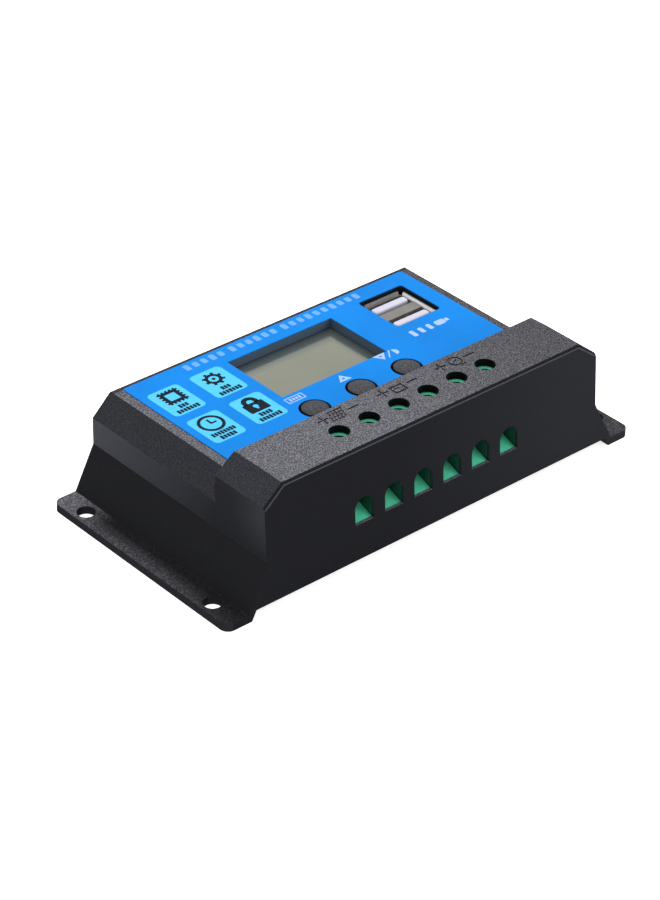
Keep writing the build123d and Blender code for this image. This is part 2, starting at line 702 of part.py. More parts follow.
def usb_shell():
    """Sheet-metal shield with two mouths, one behind the other, that face up."""
    (x0, x1), (y0, y1) = SHELL_X, SHELL_Y
    t, top = SHELL_SHEET, SHELL_TOP_Z
    lip_z = top - LIP_HEIGHT
    shell = rounded_block(x0, x1, y0, y1, BOARD_TOP, lip_z, 0.8)
    shell -= rounded_block(x0 + t, x1 - t, y0 + t, y1 - t, BOARD_TOP - 1, lip_z + 1, 0.45)

    # Lips: the back and side ones flare outwards, the front one is straight.
    left_x, right_x = x0 + LIP_END_GAP, x1 - LIP_END_GAP
    front_lip_y, back_lip_y = y0 + LIP_END_GAP, y1 - LIP_END_GAP
    foot_z = lip_z - 0.1
    shell += block(left_x, right_x, y0, y0 + t, foot_z, top)
    shell += prism_along_x(flared_lip(y1, t, foot_z), left_x, right_x)
    shell += prism_along_y(flared_lip(x1, t, foot_z), front_lip_y, back_lip_y)
    shell += prism_along_y(flared_lip(x0, -t, foot_z), front_lip_y, back_lip_y)

    # The two mouths are parted by a folded double sheet.
    front, back = DIVIDER_Y
    fold = block(x0 + t - 0.1, x1 - t + 0.1, front, back, 10.4, DIVIDER_TOP_Z)
    fold -= block(x0, x1, front + t, back - t, 9, DIVIDER_TOP_Z - t)
    shell += fold

    # Spring fingers pressed in the front and back sheets.
    for x in (SOCKET_MIDDLE_X - 3.2, SOCKET_MIDDLE_X + 3.2):
        for y in (y0 - 0.1, y1 - t - 0.1):
            cut = block(x - 1.1, x + 1.1, y, y + t + 0.2, 17.5, 23.0)
            cut -= block(x - 0.75, x + 0.75, y - 1, y + t + 1, 17.5, 22.5)
            shell -= cut
    return shell


def usb_insulator():
    """White moulding: a base and one tongue in each mouth."""
    (x0, x1), (y0, y1) = SHELL_X, SHELL_Y
    inside = SHELL_SHEET + 0.05
    front, back = DIVIDER_Y
    corner = 0.45
    x0, x1, y0, y1 = x0 + inside, x1 - inside, y0 + inside, y1 - inside
    base = rounded_block(x0, x1, y0, y1, BOARD_TOP, 10.3, corner)
    base += rounded_block(x0, x1, y0, front - 0.05, 10.2, PORT_DEPTH_Z, corner)
    base += rounded_block(x0, x1, back + 0.05, y1, 10.2, PORT_DEPTH_Z, corner)
    for y in TONGUE_FRONT_Y:
        sides = (*TONGUE_X, y, y + TONGUE_THICKNESS)
        tongue = rounded_block(*sides, PORT_DEPTH_Z - 0.5, SHELL_TOP_Z, 0.9)
        base += fillet(tongue.edges().group_by(Axis.Z)[-1], 0.5)
    return base


def usb_contacts():
    """Four contact strips on the back of each tongue, as one group of solids."""
    strips = []
    for y in TONGUE_FRONT_Y:
        face = y + TONGUE_THICKNESS
        for offset in CONTACT_OFFSETS:
            x = SOCKET_MIDDLE_X + offset
            strips.append(block(x - 0.5, x + 0.5, face, face + 0.25, PORT_DEPTH_Z, SHELL_TOP_Z - 1.6))
    return Compound(strips)


# ---------------------------------------------------------------- keys
def button(x):
    """Domed cap with a retaining flange and a stem down to its switch."""
    dome_radius = (KEY_RADIUS**2 + KEY_DOME_RISE**2) / (2 * KEY_DOME_RISE)
    dome_middle = KEY_RIM_Z + KEY_DOME_RISE - dome_radius
    cap = rod(x, KEY_Y, DECK_INSIDE_Z - 1.0, KEY_RIM_Z + KEY_DOME_RISE, KEY_RADIUS)
    cap &= Pos(x, KEY_Y, dome_middle) * Sphere(dome_radius)
    cap += rod(x, KEY_Y, DECK_INSIDE_Z - 1.0, DECK_INSIDE_Z - 0.2, KEY_FLANGE_RADIUS)
    cap += rod(x, KEY_Y, PLUNGER_TOP_Z, DECK_INSIDE_Z - 0.5, KEY_STEM_RADIUS)
    return cap


def switch_plunger(x):
    """Plunger of the push switch; it moves with the key above it."""
    return rod(x, KEY_Y, SWITCH_TOP_Z - PLUNGER_DEPTH, PLUNGER_TOP_Z, PLUNGER_RADIUS)


def tact_switch(x):
    """Body of the push switch, soldered to the board."""
    half, well_z = SWITCH_HALF, SWITCH_TOP_Z - PLUNGER_DEPTH - KEY_TRAVEL - 0.3
    body = block(x - half, x + half, KEY_Y - half, KEY_Y + half, BOARD_TOP, SWITCH_TOP_Z)
    body = chamfer(body.edges().filter_by(Axis.Z), 0.4)
    return body - rod(x, KEY_Y, well_z, SWITCH_TOP_Z + 1, PLUNGER_RADIUS + PLUNGER_CLEARANCE)


# ---------------------------------------------------------------- power parts on the board
def heat_sink_bar():
    """Aluminium bar behind the power transistors, drilled and stood on two feet."""
    y0, y1 = SINK_Y
    foot_width = 3.0
    bar = block(-SINK_HALF_X, SINK_HALF_X, y0, y1, BOARD_TOP + 0.8, SINK_TOP_Z)
    for x in (-SINK_HALF_X, SINK_HALF_X - foot_width):
        bar += block(x, x + foot_width, y0, y1, BOARD_TOP, BOARD_TOP + 1)
    for x in MOSFET_X:
        bar -= Pos(x, (y0 + y1) / 2, MOSFET_HOLE_Z) * Rot(90, 0, 0) * Cylinder(1.3, 10)
    return bar


def mosfet(x):
    """Power transistor: moulded body, metal tab against the bar, three legs."""
    back = SINK_Y[0]
    body = block(x - 5.0, x + 5.0, back - 4.4, back, 9.6, 15.7)
    body += block(x - 5.0, x + 5.0, back - MOSFET_TAB, back, 9.6, SINK_TOP_Z - 0.1)
    body -= Pos(x, back - 1, MOSFET_HOLE_Z) * Rot(90, 0, 0) * Cylinder(1.8, 4)
    for offset in (-MOSFET_LEG_PITCH, 0, MOSFET_LEG_PITCH):
        body += block(x + offset - 0.4, x + offset + 0.4, back - 2.9, back - 2.4, BOARD_TOP, 9.7)
    return body


def mosfet_screw(x):
    """Screw through a transistor's tab into the bar."""
    front = SINK_Y[0] - MOSFET_TAB
    head = Pos(x, front - 0.8, MOSFET_HOLE_Z) * Rot(90, 0, 0) * Cylinder(2.5, 1.6)
    shaft = Pos(x, front + 1.6, MOSFET_HOLE_Z) * Rot(90, 0, 0) * Cylinder(1.25, 3.4)
    slot = block(x - 2.0, x + 2.0, front - 2.5, front - 0.9, MOSFET_HOLE_Z - 0.35, MOSFET_HOLE_Z + 0.35)
    return head + shaft - slot


def capacitor(x, y, radius, height):
    """Electrolytic capacitor: a can with its rolled groove, on a rubber foot."""
    z0, z1 = BOARD_TOP, BOARD_TOP + height
    can = rod(x, y, z0, z1, radius)
    can = fillet(can.edges().group_by(Axis.Z)[-1], 0.6)
    return can - tube(x, y, z0 + 2.2, z0 + 3.2, radius + 1, radius - 0.45)


def inductor(x, y):
    """Drum choke: a wound waist between two ferrite discs."""
    z0, disc, height, disc_radius, waist_radius = BOARD_TOP, 1.4, 9.0, 5.0, 4.3
    drum = rod(x, y, z0, z0 + height, waist_radius)
    drum += rod(x, y, z0, z0 + disc, disc_radius)
    drum += rod(x, y, z0 + height - disc, z0 + height, disc_radius)
    return drum


def flat_chip(x, y, half_x, half_y, height, leads_per_side, lead_pitch):
    """Flat chip with leads on its two long sides."""
    z0 = BOARD_TOP
    chip = block(x - half_x, x + half_x, y - half_y, y + half_y, z0 + 0.1, z0 + height)
    chip = chamfer(chip.edges().group_by(Axis.Z)[-1], 0.25)
    for i in range(leads_per_side):
        lead_x = x + (i - (leads_per_side - 1) / 2) * lead_pitch
        chip += block(lead_x - 0.2, lead_x + 0.2, y - half_y - 1.0, y + half_y + 1.0, z0, z0 + 0.3)
    return chip


def schottky_diode(x, y):
    """Rectifier of the charging socket's supply."""
    z0 = BOARD_TOP
    body = block(x - 3.4, x + 3.4, y - 2.9, y + 2.9, z0 + 0.1, z0 + 2.4)
    body = chamfer(body.edges().group_by(Axis.Z)[-1], 0.4)
    return body + block(x - 4.2, x + 4.2, y - 1.6, y + 1.6, z0, z0 + 0.3)


# ---------------------------------------------------------------- write every piece
def main():
    os.makedirs("parts", exist_ok=True)
    export("upper_housing", upper_housing())
    export("front_label", front_label())
    export("bottom_cover", bottom_cover())
    export("bottom_cover_screws", bottom_cover_screws())
    export("main_board", main_board())
    export("board_screws", board_screws())

    for name, poles in (("solar", (0, 1)), ("battery", (2, 3)), ("load", (4, 5))):
        export(f"terminal_block_{name}", terminal_block(poles))
    export("contact_bars", Compound([contact_bar(x) for x in POLE_X]))
    for number, x in enumerate(POLE_X, start=1):
        export(f"clamp_cage_{number}", clamp_cage(x))
        export(f"terminal_screw_{number}", terminal_screw(x))

    export("lcd_glass", lcd_glass())
    export("lcd_backlight", lcd_backlight())
    export("lcd_frame", lcd_frame())
    export("lcd_pins", lcd_pins())

    export("usb_shell", usb_shell())
    export("usb_insulator", usb_insulator())
    export("usb_contacts", usb_contacts())

    for number, x in enumerate(KEY_X, start=1):
        export(f"button_{number}", button(x))
        export(f"switch_plunger_{number}", switch_plunger(x))
        export(f"tact_switch_{number}", tact_switch(x))

    export("heat_sink_bar", heat_sink_bar())
    for number, x in enumerate(MOSFET_X, start=1):
        export(f"mosfet_{number}", mosfet(x))
    export("mosfet_screws", Compound([mosfet_screw(x) for x in MOSFET_X]))
    export("capacitor_1", capacitor(-34.0, 5.0, 5.0, 15.5))
    export("capacitor_2", capacitor(-34.0, 20.0, 5.0, 15.5))
    export("inductor", inductor(32.0, 2.5))
    export("microcontroller", flat_chip(-1.0, 14.0, 6.4, 3.8, 2.3, 10, 1.27))
    export("converter_chip", flat_chip(41.5, 2.0, 2.5, 1.95, 1.6, 4, 1.27))
    export("schottky_diode", schottky_diode(23.5, -3.5))


main()
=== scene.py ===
import json
import math

import bmesh
import bpy
from mathutils import Matrix, Vector


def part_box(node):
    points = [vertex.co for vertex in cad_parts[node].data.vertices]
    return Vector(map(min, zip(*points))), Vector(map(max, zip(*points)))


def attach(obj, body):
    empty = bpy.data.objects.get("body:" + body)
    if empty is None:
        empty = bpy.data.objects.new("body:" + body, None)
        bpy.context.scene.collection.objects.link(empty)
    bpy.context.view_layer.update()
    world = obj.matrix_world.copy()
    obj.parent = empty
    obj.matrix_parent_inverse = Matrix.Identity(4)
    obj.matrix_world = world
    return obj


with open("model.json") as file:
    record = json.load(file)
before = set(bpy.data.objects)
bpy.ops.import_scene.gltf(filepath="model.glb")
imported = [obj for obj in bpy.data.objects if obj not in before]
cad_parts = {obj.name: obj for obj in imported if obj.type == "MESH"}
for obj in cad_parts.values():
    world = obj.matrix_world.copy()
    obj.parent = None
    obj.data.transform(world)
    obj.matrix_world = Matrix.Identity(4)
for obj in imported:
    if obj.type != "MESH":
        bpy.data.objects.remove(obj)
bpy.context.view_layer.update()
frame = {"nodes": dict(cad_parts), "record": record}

# Solar charge controller: materials for every CAD node, the label's printing, floor, light, camera.
# The label's printing stands for words and marks with plain blocks and generic symbols.

MM = 0.001
NODES = frame["nodes"]


def box_in_mm(node):
    """A node's lowest and highest corners, in millimetres."""
    low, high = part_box(node)
    return low / MM, high / MM


LABEL_LOW, LABEL_HIGH = box_in_mm("front_label")
HOUSING_LOW, HOUSING_HIGH = box_in_mm("upper_housing")
GLASS_LOW, GLASS_HIGH = box_in_mm("lcd_glass")
SOCKET_LOW, SOCKET_HIGH = box_in_mm("usb_shell")


# ---------------------------------------------------------------- node graph helpers
class Surface:
    """A material with one Principled shader, and short names for the nodes that feed it."""

    def __init__(self, name, color, roughness, **constants):
        self.material = bpy.data.materials.new(name)
        self.material.use_nodes = True
        self.tree = self.material.node_tree
        self.shader = self.tree.nodes["Principled BSDF"]
        self.shader.inputs["Base Color"].default_value = (*color, 1.0)
        self.shader.inputs["Roughness"].default_value = roughness
        for socket, value in constants.items():
            self.shader.inputs[socket.replace("_", " ")].default_value = value

    def node(self, kind, **settings):
        made = self.tree.nodes.new(kind)
        for key, value in settings.items():
            setattr(made, key, value)
        return made

    def feed(self, source, target):
        self.tree.links.new(source, target)

    def place(self, stretch=(1.0, 1.0, 1.0)):
        """Position in the row frame, in millimetres, optionally stretched."""
        coordinates = self.node("ShaderNodeTexCoord")
        in_mm = self.node("ShaderNodeVectorMath", operation="MULTIPLY")
        in_mm.inputs[1].default_value = [factor / MM for factor in stretch]
        self.feed(coordinates.outputs["Object"], in_mm.inputs[0])
        return in_mm.outputs[0]

    def noise(self, size_mm, detail=2.0, stretch=(1.0, 1.0, 1.0), roughness=0.5):
        """Cloudy noise from 0 to 1, with features about size_mm across."""
        texture = self.node("ShaderNodeTexNoise")
        texture.inputs["Scale"].default_value = 1.0 / size_mm
        texture.inputs["Detail"].default_value = detail
        texture.inputs["Roughness"].default_value = roughness
        self.feed(self.place(stretch), texture.inputs["Vector"])
        return texture.outputs["Fac"]

    def grains(self, size_mm, stretch=(1.0, 1.0, 1.0)):
        """Distance from cell centres: round grains about size_mm across."""
        texture = self.node("ShaderNodeTexVoronoi")
        texture.inputs["Scale"].default_value = 1.0 / size_mm
        self.feed(self.place(stretch), texture.inputs["Vector"])
        return texture.outputs["Distance"]

    def ramp(self, value, low, high, to_low=0.0, to_high=1.0):
        """Maps low..high to to_low..to_high, with flat ends."""
        mapped = self.node("ShaderNodeMapRange")
        limits = {"From Min": low, "From Max": high, "To Min": to_low, "To Max": to_high}
        for socket, number in limits.items():
            mapped.inputs[socket].default_value = number
        self.feed(value, mapped.inputs["Value"])
        return mapped.outputs["Result"]

    def math(self, operation, *values):
        """One Math node; each value is a number or a socket."""
        made = self.node("ShaderNodeMath", operation=operation)
        for socket, value in zip(made.inputs, values):
            if isinstance(value, (int, float)):
                socket.default_value = value
            else:
                self.feed(value, socket)
        return made.outputs[0]

    def product(self, first, *others):
        """All the values multiplied together: 1 only where every one of them is 1."""
        for other in others:
            first = self.math("MULTIPLY", first, other)
        return first

    def size(self, value):
        """The value without its sign."""
        return self.math("ABSOLUTE", value)

    def blend(self, factor, first, second):
        """Mixes two colours; each is a tuple or a socket."""
        mix = self.node("ShaderNodeMix", data_type="RGBA")
        self.feed(factor, mix.inputs["Factor"])
        for socket, value in zip((mix.inputs[6], mix.inputs[7]), (first, second)):
            if isinstance(value, tuple):
                socket.default_value = (*value, 1.0)
            else:
                self.feed(value, socket)
        return mix.outputs[2]

    def axis(self, vector, name):
        split = self.node("ShaderNodeSeparateXYZ")
        self.feed(vector, split.inputs[0])
        return split.outputs[name]

    def position(self, name):
        """One coordinate in the row frame, in millimetres."""
        return self.axis(self.place(), name)

    def normal(self, name):
        """One component of the surface's direction."""
        return self.axis(self.node("ShaderNodeNewGeometry").outputs["Normal"], name)

    def facing_up(self, low=0.8, high=0.96):
        """1 where the surface faces up, 0 on sloped and upright faces."""
        return self.ramp(self.normal("Z"), low, high)

    def between(self, value, low, high, soft):
        """1 between low and high, 0 outside them, with soft edges."""
        rise = self.ramp(value, low - soft, low + soft)
        fall = self.ramp(value, high - soft, high + soft, 1.0, 0.0)
        return self.product(rise, fall)

    def times(self, first, second):
        """Multiplies two colours."""
        made = self.node("ShaderNodeVectorMath", operation="MULTIPLY")
        self.feed(first, made.inputs[0])
        self.feed(second, made.inputs[1])
        return made.outputs[0]

    def color(self, source):
        self.feed(source, self.shader.inputs["Base Color"])

    def roughness(self, source):
        self.feed(source, self.shader.inputs["Roughness"])

    def bump(self, height, depth_mm, edge_mm=0.0):
        """Relief of depth_mm from a 0..1 height, on edges rounded by edge_mm."""
        relief = self.node("ShaderNodeBump")
        relief.inputs["Distance"].default_value = depth_mm * MM
        self.feed(height, relief.inputs["Height"])
        if edge_mm:
            rounded = self.node("ShaderNodeBevel", samples=4)
            rounded.inputs["Radius"].default_value = edge_mm * MM
            self.feed(rounded.outputs[0], relief.inputs["Normal"])
        self.feed(relief.outputs[0], self.shader.inputs["Normal"])


# ---------------------------------------------------------------- materials
# Heights on the case where one tone gives way to the next, in millimetres
ABOVE_EARS = (3.0, 5.0)
ABOVE_SPLAY = (12.0, 14.0)
ABOVE_DECK = (27.0, 28.0)


def scaled(color, factor):
    return tuple(channel * factor for channel in color)


def moulded_finish(s, grain_mm, relief_mm, edge_mm):
    """Roughness and relief of moulded ABS: coarse grain on faces that look up, satin elsewhere."""
    up = s.facing_up()
    cloud = s.noise(9.0, detail=3.0)
    rough = s.math("ADD", s.product(up, 0.35), s.product(cloud, 0.15))
    s.roughness(s.ramp(rough, 0.0, 0.5, 0.36, 0.62))
    grained = s.math("ADD", s.product(up, 0.85), 0.15)
    grain = s.noise(grain_mm, detail=3.0, roughness=0.7)
    s.bump(s.product(grain, grained), relief_mm, edge_mm=edge_mm)


def moulded_case(name, flat_color, top_color, grain_mm, relief_mm):
    """Moulded ABS: sparkling grain on faces that look up, worn satin on upright faces."""
    s = Surface(name, flat_color, 0.5, Specular_IOR_Level=0.35)
    specks = s.ramp(s.noise(grain_mm * 0.8, detail=1.0), 0.42, 0.72)
    top = s.blend(specks, scaled(top_color, 0.55), scaled(top_color, 1.75))
    lit_slope = s.ramp(s.normal("Z"), 0.5, 0.8)
    slope = s.blend(lit_slope, flat_color, scaled(flat_color, 1.9))
    worn = s.product(specks, s.noise(9.0, detail=3.0))
    slope = s.blend(worn, slope, scaled(flat_color, 2.6))
    s.color(s.blend(s.facing_up(), slope, top))
    moulded_finish(s, grain_mm, relief_mm, 0.25)
    return s.material


def top_tones(s, color, specks):
    """Faces that look up: the ridge, the deck round the label, and the two ears."""
    x, y, z = s.position("X"), s.position("Y"), s.position("Z")

    # Painted light and shade on the ears: dark by the walls and towards the front, painted light along
    # their outer edges and at their back ends; the right ear is painted one even tone.
    outer = s.ramp(s.size(x), HOUSING_HIGH.x - 5.0, HOUSING_HIGH.x - 0.5)
    outer = s.product(outer, s.ramp(y, HOUSING_LOW.y, -8.0, 0.15, 1.0))
    ear = s.blend(outer, scaled(color, 0.08), scaled(color, 0.46))
    ear = s.blend(s.ramp(y, 17.0, 29.0), ear, scaled(color, 0.85))
    ear = s.blend(s.ramp(x, 50.0, 55.0), ear, scaled(color, 0.4))

    # Painted shade: the ridge darkens towards its right end.
    ridge_right_shade = s.product(s.ramp(x, -15.0, 45.0), s.ramp(z, *ABOVE_DECK))
    upper = s.blend(ridge_right_shade, color, scaled(color, 0.58))
    top = s.blend(s.ramp(z, *ABOVE_EARS), ear, upper)

    # The strips of deck behind the label and to its right are dark too.
    behind_label = s.ramp(y, LABEL_HIGH.y - 0.2, LABEL_HIGH.y + 0.2)
    beside_label = s.ramp(x, LABEL_HIGH.x - 0.2, LABEL_HIGH.x + 0.2, 0.0, 0.55)
    border = s.math("MAXIMUM", behind_label, beside_label)
    deck_level = s.between(z, LABEL_LOW.z - 0.8, LABEL_LOW.z + 0.5, 0.2)
    top = s.blend(s.product(border, deck_level), top, scaled(color, 0.3))
    return s.times(top, s.blend(specks, (0.45, 0.45, 0.45), (1.9, 1.9, 1.9)))


def wall_tones(s, color, specks):
    """Sloped and upright faces: low splays with painted shade, grained chamfers, end walls with a painted
    reflection.
    """
    x, y, z, slope = s.position("X"), s.position("Y"), s.position("Z"), s.normal("Z")
    # Painted shade darkens the low splays; the chamfers are a little lighter.
    splay = s.ramp(slope, 0.15, 0.42)
    chamfer = s.ramp(slope, 0.55, 0.8)
    wall = s.blend(splay, color, scaled(color, 0.5))
    wall = s.blend(chamfer, wall, scaled(color, 1.15))
    grained = s.product(specks, s.math("ADD", s.product(chamfer, 0.8), 0.1))
    wall = s.blend(grained, wall, scaled(color, 3.0))

    # Painted reflection on the end walls: it grows towards the back, and starts again by the front corner.
    facing_end = s.ramp(s.size(s.normal("X")), 0.93, 0.98)
    on_end_wall = s.product(facing_end, s.ramp(s.size(x), 50.0, 52.0), s.ramp(z, *ABOVE_SPLAY))
    rear_sheen = s.ramp(y, -14.0, 31.0, 0.02, 0.62)
    corner_sheen = s.product(s.ramp(y, -20.0, -30.0, 0.0, 0.2), s.ramp(z, 15.0, 23.0))
    sheen = s.product(on_end_wall, s.math("ADD", rear_sheen, corner_sheen))
    wall = s.blend(sheen, wall, scaled(color, 5.0))

    # Painted shade: the front wall darkens towards its left end.
    front_left_shade = s.product(s.ramp(s.normal("Y"), -0.97, -0.99), s.ramp(x, 45.0, -15.0))
    return s.blend(front_left_shade, wall, scaled(color, 0.62))


def in_screwdriver_holes(s):
    """1 on the walls of the screwdriver holes."""
    low, high = box_in_mm("terminal_screw_1")
    row_end = abs(low.x + high.x) / 2
    row_y = (low.y + high.y) / 2
    along_row = s.ramp(s.math("SUBTRACT", s.size(s.position("X")), row_end), 3.2, 3.0)
    across_row = s.between(s.position("Y"), row_y - 3.1, row_y + 3.1, 0.1)
    upright = s.ramp(s.normal("Z"), 0.5, 0.3)
    return s.product(across_row, along_row, upright, s.ramp(s.position("Z"), *ABOVE_DECK))


def on_window_rim(s):
    """1 on the walls of the display's window, above the glass."""
    in_x = s.between(s.position("X"), GLASS_LOW.x, GLASS_HIGH.x, 0.1)
    in_y = s.between(s.position("Y"), GLASS_LOW.y, GLASS_HIGH.y, 0.1)
    above_glass = s.ramp(s.position("Z"), GLASS_HIGH.z - 0.05, GLASS_HIGH.z + 0.15)
    return s.product(in_x, in_y, above_glass)


def housing_plastic(name, wall_color, top_color):
    """The case's ABS: a sparkling top and satin walls, both with painted light and shade."""
    s = Surface(name, wall_color, 0.5, Specular_IOR_Level=0.15)
    specks = s.ramp(s.noise(0.34, detail=1.0), 0.42, 0.72)
    wall = wall_tones(s, wall_color, specks)

    # The ridge's rounded front edge: a thin painted highlight above the front wall, then a line of painted
    # shade.
    front, on_ridge = s.normal("Y"), s.ramp(s.position("Z"), *ABOVE_DECK)
    highlight_line = s.product(s.between(front, -0.985, -0.90, 0.01), on_ridge)
    shade_line = s.product(s.between(front, -0.89, -0.35, 0.02), on_ridge)
    wall = s.blend(highlight_line, wall, scaled(wall_color, 3.4))

    # Painted shade in the screwdriver holes, which are deep and unlit; on the window's rim, a painted
    # reflection of the label's blue.
    wall = s.blend(in_screwdriver_holes(s), wall, scaled(wall_color, 0.3))
    wall = s.blend(on_window_rim(s), wall, (0.085, 0.125, 0.18))

    color = s.blend(s.facing_up(), wall, top_tones(s, top_color, specks))
    s.color(s.blend(shade_line, color, scaled(wall_color, 0.4)))
    moulded_finish(s, 0.42, 0.05, 0.2)
    return s.material


def terminal_plastic(name, color):
    """Terminal blocks: the floors catch the light, the walls of the deep passages don't."""
    s = Surface(name, color, 0.38, Specular_IOR_Level=0.4)
    lit = s.facing_up(0.2, 0.7)
    cloud = s.ramp(s.noise(4.0, detail=4.0), 0.3, 0.7)
    floor = s.blend(cloud, scaled(color, 1.15), scaled(color, 1.4))
    wall = s.blend(cloud, scaled(color, 0.07), scaled(color, 0.1))
    s.color(s.blend(lit, wall, floor))
    s.roughness(s.ramp(s.noise(1.5, detail=3.0), 0.3, 0.7, 0.31, 0.47))
    s.bump(s.noise(0.5, detail=3.0), 0.01, edge_mm=0.12)
    return s.material


def label_film(name, color):
    """Printed film: even ink under a fine matt grain, a little deeper in places."""
    s = Surface(name, color, 0.42, Specular_IOR_Level=0.12)
    cloud = s.noise(22.0, detail=2.0)
    s.color(s.blend(s.ramp(cloud, 0.3, 0.7), scaled(color, 0.86), color))
    s.roughness(s.ramp(s.noise(1.2, detail=3.0), 0.3, 0.7, 0.36, 0.5))
    s.bump(s.noise(0.35, detail=2.0), 0.006)
    return s.material


def ink(name, color, roughness=0.5):
    """Screen-printed ink: slightly uneven in tone, with a soft grain."""
    s = Surface(name, color, roughness, Specular_IOR_Level=0.08)
    thinner = tuple(min(1.0, channel * 0.9 + 0.004) for channel in color)
    s.color(s.blend(s.ramp(s.noise(0.6, detail=3.0), 0.35, 0.65), thinner, color))
    s.roughness(s.ramp(s.noise(0.9), 0.3, 0.7, roughness - 0.06, roughness + 0.08))
    s.bump(s.noise(0.3, detail=2.0), 0.005)
    return s.material


def plain_moulding(name, color, roughness, grain_mm=0.5, relief_mm=0.006, tone=0.85, **constants):
    """Small moulded part: soft tone changes, fine relief and rounded edges."""
    s = Surface(name, color, roughness, **constants)
    cloud = s.ramp(s.noise(grain_mm * 8, detail=4.0), 0.3, 0.7)
    s.color(s.blend(cloud, scaled(color, tone), color))
    s.roughness(s.ramp(s.noise(grain_mm * 3, detail=3.0), 0.3, 0.7, roughness - 0.07, roughness + 0.09))
    s.bump(s.noise(grain_mm, detail=3.0), relief_mm, edge_mm=0.12)
    return s.material


def plating(s, bright, dull):
    """Bright plating with a few dull patches."""
    return s.blend(s.ramp(s.noise(3.0, detail=4.0), 0.35, 0.75), bright, dull)


def drawn_finish(s, roughness, brushed):
    """Roughness and relief of worked metal: fine lines drawn along one direction."""
    lines = s.noise(0.5, detail=5.0, stretch=brushed, roughness=0.65)
    s.roughness(s.ramp(lines, 0.3, 0.7, roughness - 0.08, roughness + 0.12))
    s.bump(lines, 0.004, edge_mm=0.08)


def sheet_metal(name, color, roughness, brushed=(1.0, 1.0, 1.0)):
    """Plated or bare metal."""
    s = Surface(name, color, roughness, Metallic=1.0)
    s.color(plating(s, color, scaled(color, 0.78)))
    drawn_finish(s, roughness, brushed)
    return s.material


def zinc_screws(name):
    """Zinc-plated steel; the floor of each terminal screw's driver recess is in shade."""
    s = Surface(name, (0.66, 0.66, 0.64), 0.3, Metallic=1.0)
    head_z = box_in_mm("terminal_screw_1")[1].z
    recess = s.product(s.between(s.position("Z"), head_z - 2.5, head_z - 0.15, 0.05), s.facing_up())
    zinc = plating(s, (0.66, 0.66, 0.64), (0.51, 0.51, 0.5))
    s.color(s.blend(recess, zinc, (0.09, 0.09, 0.088)))
    drawn_finish(s, 0.3, brushed=(1.0, 1.0, 0.3))
    return s.material


def socket_sheet(name):
    """Nickel sheet, with a painted highlight along the right lip's leaning edge; the other lips and the
    walls keep the plain nickel tone.
    """
    s = Surface(name, (0.7, 0.68, 0.62), 0.34, Metallic=0.85)
    # Painted highlight: the right lip's leaning edge near the top is painted near-white.
    leaning = s.product(s.ramp(s.normal("X"), -0.5, -0.8), s.ramp(s.normal("Z"), 0.2, 0.32))
    edge = s.ramp(s.position("Z"), SOCKET_HIGH.z - 0.95, SOCKET_HIGH.z - 0.7)
    bright = s.product(leaning, edge)
    nickel = plating(s, (0.43, 0.415, 0.38), (0.35, 0.335, 0.305))
    s.color(s.blend(bright, nickel, (1.0, 1.0, 0.98)))
    # The painted highlight drops the metallic weight so that its near-white shows.
    s.feed(s.ramp(bright, 0.0, 1.0, 0.85, 0.1), s.shader.inputs["Metallic"])
    drawn_finish(s, 0.34, brushed=(0.15, 1.0, 1.0))
    return s.material


def display_cell(name):
    """Display cell: a grey-green film reflects softly from under clear glass, with painted shade in bands
    along its back and right edges.
    """
    s = Surface(name, (0.33, 0.345, 0.27), 0.16, Metallic=0.75, Coat_Weight=0.5, Coat_Roughness=0.03)
    cloud = s.ramp(s.noise(14.0, detail=3.0), 0.3, 0.7)
    # Painted shade: dark blue-grey bands along the back and right edges of the cell.
    back_shade = s.ramp(s.position("Y"), GLASS_HIGH.y - 8.5, GLASS_HIGH.y - 2.6)
    right_shade = s.ramp(s.position("X"), GLASS_HIGH.x - 8.0, GLASS_HIGH.x - 3.4)
    lit = s.blend(cloud, (0.32, 0.34, 0.265), (0.36, 0.375, 0.295))
    s.color(s.blend(s.math("MAXIMUM", back_shade, right_shade), lit, (0.13, 0.17, 0.19)))
    s.roughness(s.ramp(s.noise(2.5, detail=4.0), 0.3, 0.7, 0.13, 0.2))
    s.bump(s.noise(0.25, detail=2.0), 0.0015)
    return s.material


def solder_mask(name):
    """Circuit board: green mask over fibreglass with faint tracks under it."""
    s = Surface(name, (0.012, 0.12, 0.05), 0.32, Coat_Weight=0.3)
    weave = s.grains(0.9)
    tracks = s.node("ShaderNodeTexBrick", offset=0.5)
    tracks.inputs["Scale"].default_value = 1.0
    tracks.inputs["Mortar Size"].default_value = 0.35
    tracks.inputs["Brick Width"].default_value = 7.0
    tracks.inputs["Row Height"].default_value = 2.5
    s.feed(s.place(), tracks.inputs["Vector"])
    board = s.blend(s.ramp(weave, 0.1, 0.6), (0.010, 0.10, 0.042), (0.014, 0.135, 0.055))
    s.color(s.blend(tracks.outputs["Fac"], board, (0.03, 0.22, 0.09)))
    s.roughness(s.ramp(weave, 0.0, 0.7, 0.26, 0.4))
    s.bump(tracks.outputs["Fac"], 0.03)
    return s.material


def copper_winding(name):
    """Choke: enamelled wire turns, one above another, between dark ferrite discs."""
    s = Surface(name, (0.35, 0.11, 0.04), 0.3, Metallic=0.4)
    z, wire_pitch, disc = s.position("Z"), 0.7, 1.4
    low, high = box_in_mm("inductor")
    wound = s.between(z, low.z + disc, high.z - disc, 0.05)
    turns = s.math("SINE", s.product(z, math.tau / wire_pitch))
    # Painted light and shade across the turns: lighter on each wire's crown, darker between turns.
    wire = s.blend(s.ramp(turns, -1.0, 1.0), (0.16, 0.045, 0.018), (0.5, 0.18, 0.06))
    s.color(s.blend(wound, (0.02, 0.02, 0.022), wire))
    s.roughness(s.ramp(s.noise(1.0, detail=3.0), 0.3, 0.7, 0.25, 0.42))
    s.bump(s.product(turns, wound), 0.12)
    return s.material


